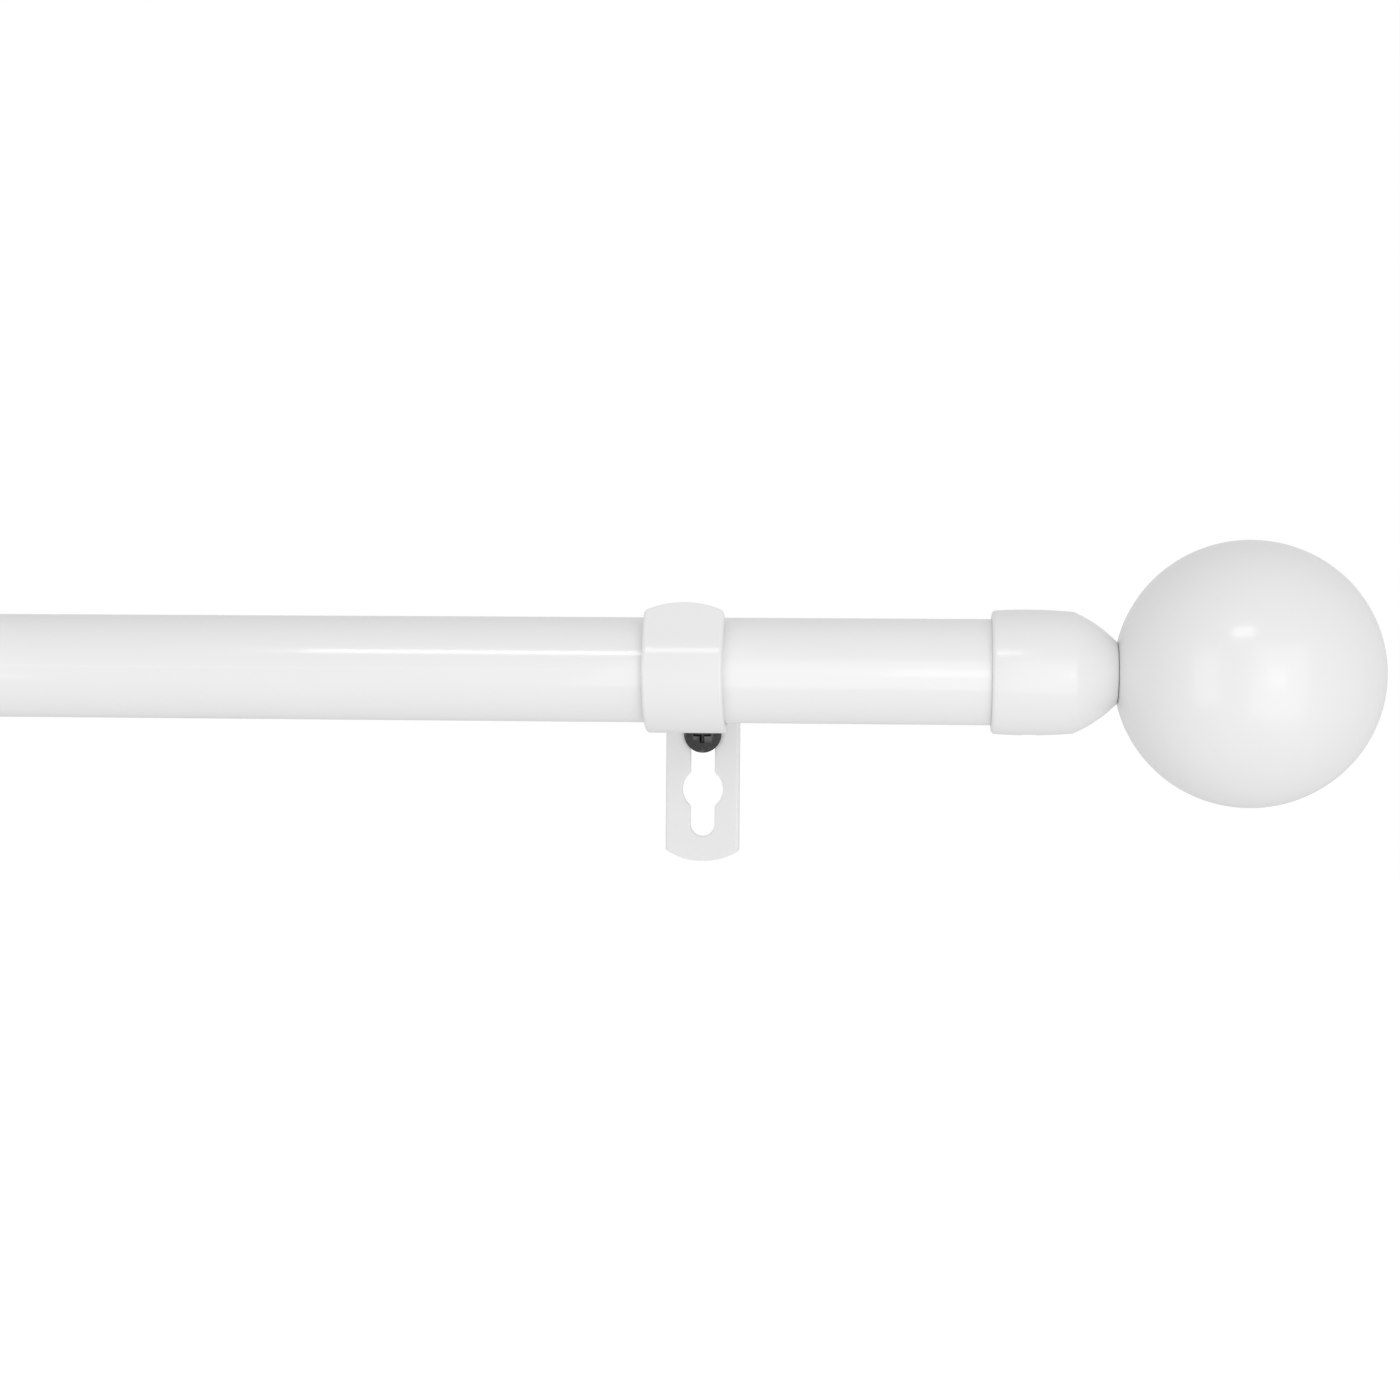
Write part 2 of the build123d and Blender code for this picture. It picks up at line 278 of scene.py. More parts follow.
def apply_modifiers(piece):
    """Turns what the modifiers make into the piece's own mesh."""
    graph = bpy.context.evaluated_depsgraph_get()
    mesh = bpy.data.meshes.new_from_object(piece.evaluated_get(graph))
    piece.modifiers.clear()
    piece.data = mesh
    return piece


def cut(piece, cutter):
    """Takes one solid out of another."""
    boolean = piece.modifiers.new("cut", "BOOLEAN")
    boolean.operation = "DIFFERENCE"
    boolean.solver = "EXACT"
    boolean.object = cutter
    apply_modifiers(piece)
    bpy.data.objects.remove(cutter)
    piece.data.set_sharp_from_angle(angle=radians(SHARP_ANGLE))
    return piece


def even_shading(piece):
    """Lets the flats keep their own shade beside rounded edges."""
    shading = piece.modifiers.new("even shading", "WEIGHTED_NORMAL")
    shading.keep_sharp = True
    return apply_modifiers(piece)


def soften(piece, width):
    """Bevels the sharp edges."""
    bevel = piece.modifiers.new("edges", "BEVEL")
    bevel.width = width * MM
    bevel.segments = 2
    bevel.limit_method = "ANGLE"
    bevel.angle_limit = radians(SOFTENED_ANGLE)
    return even_shading(apply_modifiers(piece))


def turned_round(piece, name):
    """The same piece at the left end: turned half round about a vertical line."""
    copy = in_scene(name, piece.data)
    centre = Vector((MIDDLE_X * MM, ROD_Y * MM, 0))
    half_turn = Matrix.Rotation(pi, 4, "Z")
    copy.matrix_world = Matrix.Translation(centre) @ half_turn @ Matrix.Translation(-centre)
    return copy


def moved_left(piece, name):
    """The same piece at the left bracket."""
    copy = in_scene(name, piece.data)
    copy.location = LEFT_BRACKET_SHIFT
    return copy


def install(piece, node, body, material):
    """Gives a finished piece its material and its body, and hides the CAD node it stands for."""
    piece.data.materials.clear()
    piece.data.materials.append(material)
    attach(piece, body)
    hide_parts(node)
    return piece


# ---------------------------------------------------------------- rod pieces

def tube(name, left, right, radius):
    """Thin-walled tube with broken edges, between two places along the rod."""
    edges = (
        (0, radius, TUBE_EDGE),
        (right - left, radius, TUBE_EDGE),
        (right - left, radius - TUBE_WALL, TUBE_EDGE),
        (0, radius - TUBE_WALL, TUBE_EDGE),
    )
    return turned_on_rod(name, rounded(edges, 3), left)


def collar():
    """Plastic ring in the mouth of the outer tube."""
    sleeve_r = OUTER_TUBE_R - TUBE_WALL - FIT
    bore_r = INNER_TUBE_R + FIT
    edges = (
        (-COLLAR_LIP, bore_r, 0.25),
        (-COLLAR_LIP, OUTER_TUBE_R, 0.75),
        (-COLLAR_GAP, OUTER_TUBE_R, 0.2),
        (-COLLAR_GAP, sleeve_r, 0),
        (COLLAR_SLEEVE, sleeve_r, 0.3),
        (COLLAR_SLEEVE, bore_r, 0.2),
    )
    return turned_on_rod("visual_outer_tube_collar", rounded(edges), TUBE_LEFT_X)


def glide():
    """Plastic plug on the hidden end of the inner tube."""
    flange_r = OUTER_TUBE_R - TUBE_WALL - FIT
    spigot_r = INNER_TUBE_R - TUBE_WALL - FIT
    edges = (
        (-GLIDE_SPIGOT, GLIDE_BORE_R, 0.3),
        (-GLIDE_SPIGOT, spigot_r, 0.6),
        (0, spigot_r, 0),
        (0, flange_r, 0.3),
        (GLIDE_FLANGE, flange_r, 0.5),
        (GLIDE_FLANGE, GLIDE_BORE_R, 0.3),
    )
    return turned_on_rod("visual_inner_tube_glide", rounded(edges), INNER_RIGHT_X)


def reducer():
    """Plastic sleeve that brings the thin end of the rod up to the bore of the cap."""
    edges = (
        (0, INNER_TUBE_R + FIT, 0.2),
        (0, OUTER_TUBE_R, 0.4),
        (REDUCER_LENGTH, OUTER_TUBE_R, 0.4),
        (REDUCER_LENGTH, INNER_TUBE_R + FIT, 0.2),
    )
    return turned_on_rod("visual_left_reducer_sleeve", rounded(edges), INNER_LEFT_X)


# ---------------------------------------------------------------- finial pieces

def finial_cap():
    """Bullet-shaped socket with a hole for the set screw in its underside."""
    side = arc_through((0, CAP_RIM_R), CAP_BELLY, CAP_SHOULDER, 36)
    nose = arc_through(CAP_SHOULDER, CAP_NOSE_MIDDLE, (CAP_LENGTH, CAP_NOSE_R), 30)
    inside = (
        (CAP_LENGTH, BALL_HOLE_R),
        (CAP_COUNTERBORE_DEPTH, BALL_HOLE_R),
        (CAP_COUNTERBORE_DEPTH, CAP_COUNTERBORE_R),
        (CAP_BORE_DEPTH, CAP_COUNTERBORE_R),
        (CAP_BORE_DEPTH, CAP_BORE_R),
        (0, CAP_BORE_R),
    )
    rim_reach, nose_reach = 3, 1
    smooth = side[rim_reach:] + nose[1:-nose_reach]
    corners = [(*side[0], CAP_RIM_EDGE_R)] + [(x, r, 0) for x, r in smooth]
    corners += [(*nose[-1], CAP_NOSE_EDGE_R)] + [(x, r, 0) for x, r in inside]
    cap = turned_on_rod("visual_right_finial_cap", rounded(corners), CAP_RIM_X)

    drill = bmesh.new()
    bmesh.ops.create_cone(
        drill, cap_ends=True, segments=DRILL_ROUND,
        radius1=SET_SCREW_HOLE_R, radius2=SET_SCREW_HOLE_R, depth=CAP_BELLY[1],
    )
    bmesh.ops.translate(
        drill, verts=drill.verts,
        vec=(CAP_RIM_X + SET_SCREW_X, ROD_Y, ROD_Z - CAP_BELLY[1]),
    )
    return cut(cap, mesh_object("drill", drill))


def ball():
    """Hollow ball with a flat seat and a screw hole."""
    centre_x = BALL_SEAT_X + sqrt(BALL_R ** 2 - BALL_SEAT_R ** 2)
    seat_angle = 180 - degrees(asin(BALL_SEAT_R / BALL_R))
    inner_r = BALL_R - BALL_WALL
    hole_angle = 180 - degrees(asin(BALL_HOLE_R / inner_r))
    outer = arc_points((centre_x, 0), BALL_R, 0, seat_angle, 90)
    inner = arc_points((centre_x, 0), inner_r, hole_angle, 0, 48)
    profile = outer + [(BALL_SEAT_X, BALL_HOLE_R)] + inner
    return turned_on_rod("visual_right_ball", profile, CAP_RIM_X, closed=False)


# ---------------------------------------------------------------- screws

def thread_rings(start, end, root_r, crest_r, pitch):
    """Rings of a right-handed screw thread along +X, which runs in and out at its ends."""
    step = pitch / RINGS_PER_TURN
    count = round((end - start) / step)

    def radius_at(x):
        fade = min(1, (x - start) / pitch, (end - x) / pitch)

        def radius(angle):
            phase = (x / pitch - angle / (2 * pi)) % 1
            ridge = max(0, 1 - abs(phase - 0.5) * 2 / RIDGE_WIDTH)
            return root_r + (crest_r - root_r) * ridge * max(0, fade)
        return radius

    return [(start + i * step, radius_at(start + i * step)) for i in range(count + 1)]


def cross_cutter(front_x):
    """A tapered cross that opens towards -X."""
    bm = bmesh.new()
    taper = RECESS_DEPTH * tan(radians(RECESS_TAPER))
    levels = ((front_x - 1, 0), (front_x, 0), (front_x + RECESS_DEPTH, taper))
    loops = []
    for x, inset in levels:
        a, b = RECESS_SPAN / 2 - inset, RECESS_WIDTH / 2 - inset
        loop = []
        for quarter in range(4):
            turn = Matrix.Rotation(pi / 2 * quarter, 4, "X")
            loop += [bm.verts.new(turn @ Vector((x, y, z))) for y, z in ((a, -b), (a, b), (b, b))]
        loops.append(loop)
    for one, other in zip(loops, loops[1:]):
        for i in range(len(one)):
            j = (i + 1) % len(one)
            bm.faces.new((one[i], one[j], other[j], other[i]))
    bm.faces.new(loops[0])
    bm.faces.new(loops[-1])
    return mesh_object("cross", bm)


def screw_from(name, rings, recess_x):
    """A screw along +X with a cross recess in the head at its start."""
    screw = mesh_object(name, turned_mesh(rings, SMALL_ROUND, closed=False))
    return soften(cut(screw, cross_cutter(recess_x)), SCREW_EDGE_R)


def wall_screw():
    """Domed pan head, neck, and a wood thread that ends in a point."""
    dome_depth = HEAD_HEIGHT - HEAD_RIM
    dome_r = (HEAD_R ** 2 + dome_depth ** 2) / (2 * dome_depth)
    dome_turn = degrees(asin(HEAD_R / dome_r))
    dome = arc_points((dome_r - HEAD_HEIGHT, 0), dome_r, 180, 180 - dome_turn, 24)
    neck_end = -HEAD_BACK_Y
    thread_end = neck_end + THREAD_LENGTH
    back_r = HEAD_R - HEAD_UNDERCUT
    rings = dome + [
        (-HEAD_EDGE_R, back_r + HEAD_EDGE_R / 5),
        (0, back_r - HEAD_EDGE_R),
        (0, NECK_R + NECK_FILLET),
        (NECK_FILLET, NECK_R),
        (neck_end - NECK_RUN_OUT, NECK_R),
    ]
    rings += thread_rings(neck_end, thread_end, THREAD_ROOT_R, THREAD_R, THREAD_PITCH)
    rings += [(thread_end + TIP_LENGTH / 2, TIP_MIDDLE_R), (thread_end + TIP_LENGTH, 0)]
    screw = screw_from("visual_right_wall_screw", rings, -HEAD_HEIGHT)
    low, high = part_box("right_wall_screw")
    centre = (low + high) / 2
    place = Matrix.Translation((centre.x, HEAD_BACK_Y * MM, centre.z))
    screw.data.transform(place @ Matrix.Rotation(pi / 2, 4, "Z"))
    return screw


def finial_screw():
    """Machine screw that joins the cap to the ball."""
    under_head = FINIAL_SCREW_HEAD_X + FINIAL_SCREW_HEAD_HEIGHT
    rings = [
        (FINIAL_SCREW_HEAD_X, 0),
        (FINIAL_SCREW_HEAD_X, FINIAL_SCREW_HEAD_R - FINIAL_SCREW_TOP_EDGE),
        (FINIAL_SCREW_HEAD_X + FINIAL_SCREW_TOP_EDGE, FINIAL_SCREW_HEAD_R),
        (under_head - FINIAL_SCREW_BACK_EDGE, FINIAL_SCREW_HEAD_R),
        (under_head, FINIAL_SCREW_HEAD_R - FINIAL_SCREW_BACK_EDGE),
        (under_head, FINIAL_SCREW_ROOT_R),
    ]
    rings += thread_rings(
        under_head, FINIAL_SCREW_END, FINIAL_SCREW_ROOT_R, FINIAL_SCREW_R, FINIAL_SCREW_PITCH,
    )
    rings += [(FINIAL_SCREW_END, 0)]
    screw = screw_from("visual_right_finial_screw", rings, FINIAL_SCREW_HEAD_X)
    screw.data.transform(Matrix.Translation(Vector((CAP_RIM_X, ROD_Y, ROD_Z)) * MM))
    return screw


# ---------------------------------------------------------------- bracket

def strip_path():
    """The middle line of the strip as (length, turn in degrees) pieces; turns to the left are plus."""
    arm_z = ROD_Z - ARM_DROP
    bend = degrees(asin((ARM_DROP + CRADLE_BEND_R) / (CRADLE_R + CRADLE_BEND_R)))
    cradle_turn = 180 - bend + LIP_START_ANGLE
    arm_end_y = ROD_Y + (CRADLE_R + CRADLE_BEND_R) * cos(radians(bend))
    plate = arm_z - WALL_BEND_R - PLATE_BOTTOM_Z
    arm = -(STRIP_THICKNESS / 2 + WALL_BEND_R) - arm_end_y
    return (
        (plate, 0),
        (WALL_BEND_R * pi / 2, 90),
        (arm, 0),
        (CRADLE_BEND_R * radians(90 - bend), 90 - bend),
        (CRADLE_R * radians(cradle_turn), -cradle_turn),
        (LIP_LENGTH, 0),
    )


def place_on_path(distance, offset, path):
    """(y, z) of a point of the strip: distance along it, and offset towards the left of its run."""
    y, z, heading = -STRIP_THICKNESS / 2, PLATE_BOTTOM_Z, radians(90)
    left = distance
    for length, turn in path:
        step = min(left, length)
        if turn == 0:
            y += step * cos(heading)
            z += step * sin(heading)
        else:
            radius = length / radians(turn)
            angle = step / radius
            y += radius * (sin(heading + angle) - sin(heading))
            z -= radius * (cos(heading + angle) - cos(heading))
            heading += angle
        left -= step
        if left <= 0:
            break
    return y - offset * sin(heading), z + offset * cos(heading)


def strip_length(path):
    """Distance along the strip at which its middle line reaches the top of the lip."""
    lip_start = sum(length for length, turn in path[:-1])
    knee_z = place_on_path(lip_start, 0, path)[1]
    return lip_start + (LIP_TOP_Z - knee_z) / cos(radians(LIP_START_ANGLE))


def keyhole_half():
    """Right half of the double keyhole, from its top to its bottom, as (across, height) points."""
    reach = WIDE_HOLE_R + KEYHOLE_CORNER_R
    corner_x = SLOT_HALF_WIDTH + KEYHOLE_CORNER_R
    corner_dz = sqrt(reach ** 2 - corner_x ** 2)
    tilt = degrees(atan2(corner_dz, corner_x))
    points = arc_points((0, SLOT_TOP_Z - SLOT_HALF_WIDTH), SLOT_HALF_WIDTH, 90, 0, 10)
    upper_corner = (corner_x, WIDE_HOLE_Z + corner_dz)
    lower_corner = (corner_x, WIDE_HOLE_Z - corner_dz)
    points += arc_points(upper_corner, KEYHOLE_CORNER_R, 180, 180 + tilt, 6)
    points += arc_points((0, WIDE_HOLE_Z), WIDE_HOLE_R, tilt, -tilt, 18)[1:]
    points += arc_points(lower_corner, KEYHOLE_CORNER_R, 180 - tilt, 180, 6)[1:]
    points += arc_points((0, SLOT_BOTTOM_Z + SLOT_HALF_WIDTH), SLOT_HALF_WIDTH, 0, -90, 10)
    return points


def blank_half(length):
    """Right half of the flat strip's outline, from the middle of its foot to the top of its lip."""
    half = STRIP_WIDTH / 2
    foot_turn = degrees(asin(half / PLATE_BOTTOM_R))
    foot = arc_points((0, PLATE_BOTTOM_R), PLATE_BOTTOM_R, -90, -90 + foot_turn, 14)
    # The lip leans back, so an arch that looks round from the front is tighter in the flat
    crown_r = LIP_TOP_R * cos(radians(LIP_START_ANGLE))
    crown_turn = degrees(asin(half / crown_r))
    crown = arc_points((0, length - crown_r), crown_r, 90 - crown_turn, 90, 14)
    corners = rounded((
        (*foot[-3], 0),
        (*foot[-1], PLATE_CORNER_R),
        (*crown[0], LIP_CORNER_R),
        (*crown[3], 0),
    ), 7)
    return foot[:-2] + corners[1:-1] + crown[3:]


def both_halves(right_half):
    """A closed outline from its right half, which starts and ends on the middle line."""
    return right_half + [(-x, s) for x, s in reversed(right_half[1:-1])]


def rolled_edge(bm, outline, edge_radius):
    """Wall of the blank along one outline, its edges rounded front and back; returns its loops."""
    steps = 5
    levels = []
    for k in range(steps + 1):
        a = radians(90 * k / steps)
        levels.append((1 - sin(a), 1, 1 - cos(a)))
    levels += [(inset, -side, drop) for inset, side, drop in reversed(levels)]
    loops = [[] for level in levels]
    for i, (x, s) in enumerate(outline):
        here = Vector((x, s))
        back = (here - Vector(outline[i - 1])).normalized()
        ahead = (Vector(outline[(i + 1) % len(outline)]) - here).normalized()
        inward = (back + ahead).normalized()
        inward = Vector((-inward.y, inward.x)) / max(0.5, (back + ahead).length / 2)
        r = edge_radius(abs(inward.x))
        for loop, (inset, side, drop) in zip(loops, levels):
            point = here + inward * inset * r
            loop.append(bm.verts.new((point.x, point.y, side * (STRIP_THICKNESS / 2 - drop * r))))
    for one, other in zip(loops, loops[1:]):
        for i in range(len(outline)):
            j = (i + 1) % len(outline)
            bm.faces.new((one[i], one[j], other[j], other[i]))
    return loops[0], loops[-1]


def bracket():
    """Flat blank with its keyhole and rolled edges, then bent along the path."""
    path = strip_path()
    edge = blank_half(strip_length(path))
    hole = [(x, z - PLATE_BOTTOM_Z) for x, z in keyhole_half()]

    def outer_radius(sideways):
        """The long sides are rounder than the ends."""
        return END_EDGE_R + (STRIP_EDGE_R - END_EDGE_R) * min(1, sideways) ** 3

    bm = bmesh.new()
    edge_sheets = rolled_edge(bm, both_halves(edge), outer_radius)
    hole_sheets = rolled_edge(bm, both_halves(hole), lambda sideways: KEYHOLE_EDGE_R)
    crown = len(edge) - 1
    bottom = len(hole) - 1
    for edge_loop, hole_loop in zip(edge_sheets, hole_sheets):
        left_edge = [edge_loop[0]] + edge_loop[:crown - 1:-1]
        left_hole = [hole_loop[0]] + hole_loop[:bottom - 1:-1]
        bm.faces.new(edge_loop[:crown + 1] + hole_loop[:bottom + 1])
        bm.faces.new(left_edge + left_hole)

    # Cut the blank across at every place where it has to bend, then bend it
    bm.normal_update()
    bmesh.ops.triangulate(bm, faces=bm.faces)
    start = 0
    for length, turn in path:
        cuts = max(1, round(abs(turn) / BEND_STEP))
        for i in range(cuts + 1):
            bmesh.ops.bisect_plane(
                bm, geom=list(bm.verts) + list(bm.edges) + list(bm.faces),
                plane_co=(0, start + length * i / cuts, 0), plane_no=(0, 1, 0), dist=1e-4,
            )
        start += length
    for v in bm.verts:
        y, z = place_on_path(v.co.y, v.co.z, path)
        v.co = (v.co.x, y, z)
    return even_shading(mesh_object("visual_right_bracket", bm, 50))


# ---------------------------------------------------------------- materials

def node_setup(name):
    """A new material with its shader; returns both and a short way to add nodes."""
    material = bpy.data.materials.new(name)
    material.use_nodes = True
    tree = material.node_tree
    shader = tree.nodes["Principled BSDF"]

    def add(kind, **settings):
        made = tree.nodes.new(kind)
        for key, value in settings.items():
            setattr(made, key, value)
        return made

    return material, shader, tree.links.new, add


def noise(add, link, place, scale, detail):
    """Noise that stays put on the piece, by its scale per metre."""
    made = add("ShaderNodeTexNoise")
    made.inputs["Scale"].default_value = scale
    made.inputs["Detail"].default_value = detail
    link(place.outputs["Object"], made.inputs["Vector"])
    return made.outputs["Fac"]


def spread(add, link, value, low, high, out_low, out_high):
    """Maps a value from one range to another."""
    made = add("ShaderNodeMapRange")
    made.inputs["From Min"].default_value = low
    made.inputs["From Max"].default_value = high
    made.inputs["To Min"].default_value = out_low
    made.inputs["To Max"].default_value = out_high
    link(value, made.inputs["Value"])
    return made.outputs["Result"]


def paint(name, colour, roughness, peel, coat):
    """White paint: faint clouding, orange peel, and a painted highlight: a paler line along the rounded
    edges.
    """
    material, shader, link, add = node_setup(name)
    place = add("ShaderNodeTexCoord")

    clouds = spread(add, link, noise(add, link, place, 22.0, 4.0), 0.3, 0.7, 0.0, 1.0)
    tone = add("ShaderNodeMix", data_type="RGBA")
    tone.inputs["A"].default_value = (*(c * 0.985 for c in colour), 1)
    tone.inputs["B"].default_value = (*colour, 1)
    link(clouds, tone.inputs["Factor"])

    # Painted highlight: rounded edges are made paler, in place of the reflections they catch
    edges = add("ShaderNodeNewGeometry")
    edge_wear_and_highlight = spread(add, link, edges.outputs["Pointiness"], 0.52, 0.60, 0.0, 0.5)
    painted_edge_highlight = add("ShaderNodeMix", data_type="RGBA")
    painted_edge_highlight.inputs["B"].default_value = (*(c * 1.1 for c in colour), 1)
    link(edge_wear_and_highlight, painted_edge_highlight.inputs["Factor"])
    link(tone.outputs["Result"], painted_edge_highlight.inputs["A"])
    link(painted_edge_highlight.outputs["Result"], shader.inputs["Base Color"])

    smear = noise(add, link, place, 60.0, 3.0)
    gloss = spread(add, link, smear, 0.3, 0.7, roughness * 0.9, roughness * 1.1)
    link(gloss, shader.inputs["Roughness"])

    skin = add("ShaderNodeBump")
    skin.inputs["Strength"].default_value = peel
    skin.inputs["Distance"].default_value = 0.00002
    link(noise(add, link, place, 900.0, 1.0), skin.inputs["Height"])
    link(skin.outputs["Normal"], shader.inputs["Normal"])

    shader.inputs["IOR"].default_value = 1.5
    shader.inputs["Coat Weight"].default_value = coat
    shader.inputs["Coat Roughness"].default_value = 0.06
    return material


def plastic(name, colour):
    """Moulded plastic with a fine matt grain."""
    material, shader, link, add = node_setup(name)
    place = add("ShaderNodeTexCoord")
    flow = spread(add, link, noise(add, link, place, 90.0, 3.0), 0.35, 0.65, 0.0, 1.0)
    tone = add("ShaderNodeMix", data_type="RGBA")
    tone.inputs["A"].default_value = (*(c * 0.96 for c in colour), 1)
    tone.inputs["B"].default_value = (*colour, 1)
    link(flow, tone.inputs["Factor"])
    link(tone.outputs["Result"], shader.inputs["Base Color"])
    link(spread(add, link, flow, 0.0, 1.0, 0.42, 0.55), shader.inputs["Roughness"])
    grain = add("ShaderNodeBump")
    grain.inputs["Strength"].default_value = 0.25
    grain.inputs["Distance"].default_value = 0.00004
    link(noise(add, link, place, 2600.0, 2.0), grain.inputs["Height"])
    link(grain.outputs["Normal"], shader.inputs["Normal"])
    return material


def steel(name, colour, roughness, tarnish):
    """Plated steel: patchy tone, a finely marked surface and brighter worn edges."""
    material, shader, link, add = node_setup(name)
    place = add("ShaderNodeTexCoord")
    patches = spread(add, link, noise(add, link, place, 1500.0, 4.0), 0.3, 0.7, 0.0, 1.0)
    tone = add("ShaderNodeMix", data_type="RGBA")
    tone.inputs["A"].default_value = (*colour, 1)
    tone.inputs["B"].default_value = (*(c * tarnish for c in colour), 1)
    link(patches, tone.inputs["Factor"])
    edges = add("ShaderNodeNewGeometry")
    edge_wear_and_highlight = spread(add, link, edges.outputs["Pointiness"], 0.53, 0.62, 0.0, 0.6)
    bare = add("ShaderNodeMix", data_type="RGBA")
    bare.inputs["B"].default_value = (*(min(1, c * 2.2) for c in colour), 1)
    link(edge_wear_and_highlight, bare.inputs["Factor"])
    link(tone.outputs["Result"], bare.inputs["A"])
    link(bare.outputs["Result"], shader.inputs["Base Color"])
    link(spread(add, link, patches, 0.0, 1.0, roughness, roughness * 1.4), shader.inputs["Roughness"])
    marks = add("ShaderNodeBump")
    marks.inputs["Strength"].default_value = 0.2
    marks.inputs["Distance"].default_value = 0.00002
    link(noise(add, link, place, 1800.0, 3.0), marks.inputs["Height"])
    link(marks.outputs["Normal"], shader.inputs["Normal"])
    shader.inputs["Metallic"].default_value = 1.0
    return material


def floor_paper(name):
    """Plain pale studio paper."""
    material, shader, link, add = node_setup(name)
    place = add("ShaderNodeTexCoord")
    fibres = spread(add, link, noise(add, link, place, 8.0, 6.0), 0.3, 0.7, 0.94, 0.96)
    tone = add("ShaderNodeCombineColor")
    for channel in ("Red", "Green", "Blue"):
        link(fibres, tone.inputs[channel])
    link(tone.outputs["Color"], shader.inputs["Base Color"])
    shader.inputs["Roughness"].default_value = 1.0
    shader.inputs["Specular IOR Level"].default_value = 0.0
    shader.inputs["Emission Color"].default_value = (1, 1, 1, 1)
    shader.inputs["Emission Strength"].default_value = 0.42
    return material


# ---------------------------------------------------------------- the object

PAINT_WHITE = (0.85, 0.85, 0.85)
PLASTIC_WHITE = (0.80, 0.80, 0.79)
BLACKENED = (0.085, 0.083, 0.085)
ZINC = (0.55, 0.56, 0.58)

white_tube = paint("white_tube_paint", PAINT_WHITE, roughness=0.22, peel=0.06, coat=0.6)
white_strip = paint("white_strip_paint", PAINT_WHITE, roughness=0.33, peel=0.08, coat=0.5)
white_finial = paint("white_finial_paint", PAINT_WHITE, roughness=0.24, peel=0.08, coat=0.3)
white_plastic = plastic("white_moulded_plastic", PLASTIC_WHITE)
dark_screw = steel("dark_plated_steel", BLACKENED, roughness=0.16, tarnish=0.7)
zinc = steel("zinc_plated_steel", ZINC, roughness=0.28, tarnish=0.85)

outer_tube = tube("visual_outer_tube", TUBE_LEFT_X, TUBE_RIGHT_X, OUTER_TUBE_R)
inner_tube = tube("visual_inner_tube", INNER_LEFT_X, INNER_RIGHT_X, INNER_TUBE_R)
install(outer_tube, "outer_tube", "outer_rod", white_tube)
install(inner_tube, "inner_tube", "inner_rod", white_tube)
install(collar(), "outer_tube_collar", "outer_rod", white_plastic)
install(glide(), "inner_tube_glide", "inner_rod", white_plastic)
install(reducer(), "left_reducer_sleeve", "inner_rod", white_plastic)

right_cap = finial_cap()
left_cap = turned_round(right_cap, "visual_left_finial_cap")
install(right_cap, "right_finial_cap", "right_cap", white_finial)
install(left_cap, "left_finial_cap", "left_cap", white_finial)

right_ball = ball()
left_ball = turned_round(right_ball, "visual_left_ball")
install(right_ball, "right_ball", "right_ball", white_finial)
install(left_ball, "left_ball", "left_ball", white_finial)

right_bracket = bracket()
left_bracket = moved_left(right_bracket, "visual_left_bracket")
install(right_bracket, "right_bracket", "right_bracket", white_strip)
install(left_bracket, "left_bracket", "left_bracket", white_strip)

right_wall_screw = wall_screw()
left_wall_screw = moved_left(right_wall_screw, "visual_left_wall_screw")
install(right_wall_screw, "right_wall_screw", "right_wall_screw", dark_screw)
install(left_wall_screw, "left_wall_screw", "left_wall_screw", dark_screw)

right_finial_screw = finial_screw()
left_finial_screw = turned_round(right_finial_screw, "visual_left_finial_screw")
install(right_finial_screw, "right_finial_screw", "right_cap", zinc)
install(left_finial_screw, "left_finial_screw", "left_cap", zinc)

carried_over = {
    "right_set_screw": zinc,
    "left_set_screw": zinc,
    "right_ball_nut": zinc,
    "left_ball_nut": zinc,
}
for node, material in carried_over.items():
    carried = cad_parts[node]
    carried.data.materials.clear()
    carried.data.materials.append(material)


# ---------------------------------------------------------------- studio

FLOOR_Z = -0.45
FLOOR_HALF_WIDTH = 6
AIM = Vector((0.02, -0.03, 0.01))


def floor():
    """A wide sheet of pale paper below the rod, kept out of its reflections and its shading."""
    bm = bmesh.new()
    bmesh.ops.create_grid(bm, x_segments=8, y_segments=8, size=FLOOR_HALF_WIDTH)
    mesh = bpy.data.meshes.new("floor")
    bm.to_mesh(mesh)
    bm.free()
    made = in_scene("floor", mesh)
    made.location.z = FLOOR_Z
    mesh.materials.append(floor_paper("floor_paper"))
    made.visible_diffuse = False
    made.visible_glossy = False


def softbox(name, azimuth, elevation, distance, width, height, radiance):
    """A rectangular light aimed at the bracket, its azimuth counted to the right from the front."""
    data = bpy.data.lights.new(name, "AREA")
    data.shape = "RECTANGLE"
    data.size = width
    data.size_y = height
    data.energy = radiance * width * height * pi
    lamp = in_scene(name, data)
    a, e = radians(azimuth), radians(elevation)
    towards = Vector((sin(a) * cos(e), -cos(a) * cos(e), sin(e)))
    lamp.location = AIM + towards * distance
    lamp.rotation_euler = towards.to_track_quat("Z", "Y").to_euler()
    lamp.visible_camera = False


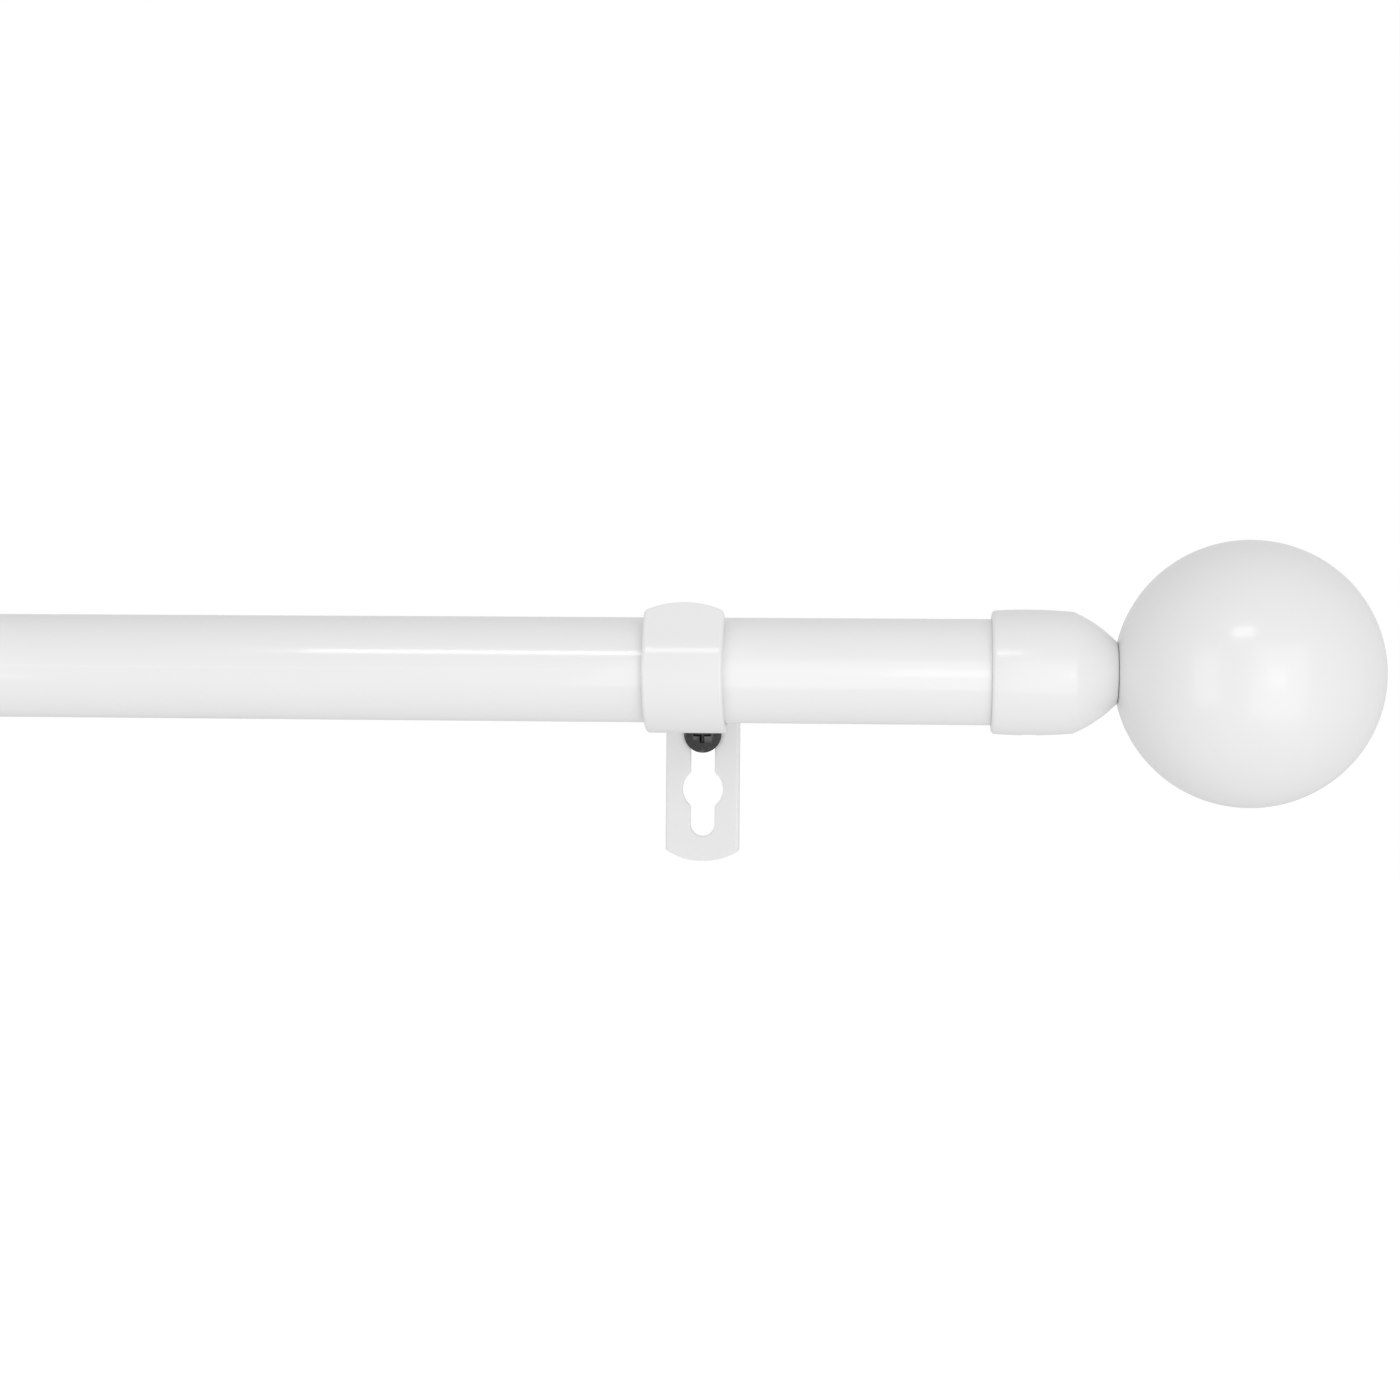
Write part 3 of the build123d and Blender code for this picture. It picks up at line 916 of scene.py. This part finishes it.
def surroundings(seen, middle, rightward, upward):
    """A white backdrop, and a softer glow that lights the object and changes evenly across and up."""
    world = bpy.data.worlds.new("studio")
    world.use_nodes = True
    tree = world.node_tree
    backdrop = tree.nodes["Background"]
    backdrop.inputs["Color"].default_value = (seen, seen, seen, 1)
    glow = tree.nodes.new("ShaderNodeBackground")
    place = tree.nodes.new("ShaderNodeTexCoord")
    slope = tree.nodes.new("ShaderNodeVectorMath")
    slope.operation = "DOT_PRODUCT"
    slope.inputs[1].default_value = (rightward, 0, upward)
    level = tree.nodes.new("ShaderNodeMath")
    level.inputs[1].default_value = middle
    rays = tree.nodes.new("ShaderNodeLightPath")
    choose = tree.nodes.new("ShaderNodeMixShader")
    tree.links.new(place.outputs["Generated"], slope.inputs[0])
    tree.links.new(slope.outputs["Value"], level.inputs[0])
    tree.links.new(level.outputs["Value"], glow.inputs["Strength"])
    tree.links.new(rays.outputs["Is Camera Ray"], choose.inputs["Fac"])
    tree.links.new(glow.outputs["Background"], choose.inputs[1])
    tree.links.new(backdrop.outputs["Background"], choose.inputs[2])
    tree.links.new(choose.outputs["Shader"], tree.nodes["World Output"].inputs["Surface"])
    bpy.context.scene.world = world


def camera(place, yaw, roll, lens):
    """Level camera, turned to the left by yaw and tipped by roll, in degrees."""
    data = bpy.data.cameras.new("camera")
    data.lens = lens
    data.clip_start = 0.01
    made = in_scene("camera", data)
    turn, tip = radians(yaw), radians(roll)
    ahead = Vector((-sin(turn), cos(turn), 0))
    level = Vector((cos(turn), sin(turn), 0))
    right = level * cos(tip) + Vector((0, 0, sin(tip)))
    up = Vector((0, 0, cos(tip))) - level * sin(tip)
    made.matrix_world = Matrix.Translation(place) @ Matrix((right, up, -ahead)).transposed().to_4x4()
    bpy.context.scene.camera = made


floor()
surroundings(seen=1.0, middle=0.955, rightward=0.08, upward=-0.12)
softbox("front_right", azimuth=23, elevation=-8, distance=1.2, width=1.0, height=1.4, radiance=0.86)
softbox("front_right_core", azimuth=21, elevation=-4, distance=1.15, width=0.3, height=0.3, radiance=1.2)
softbox("front_left", azimuth=-39, elevation=-4, distance=1.2, width=0.5, height=1.0, radiance=0.9)
softbox("above_camera", azimuth=-6, elevation=35, distance=1.2, width=0.36, height=0.17, radiance=4.0)
camera(place=Vector((0.0547, -0.6502, 0.0088)), yaw=4.90, roll=0.46, lens=64.29)
bpy.context.scene.view_settings.view_transform = "Standard"
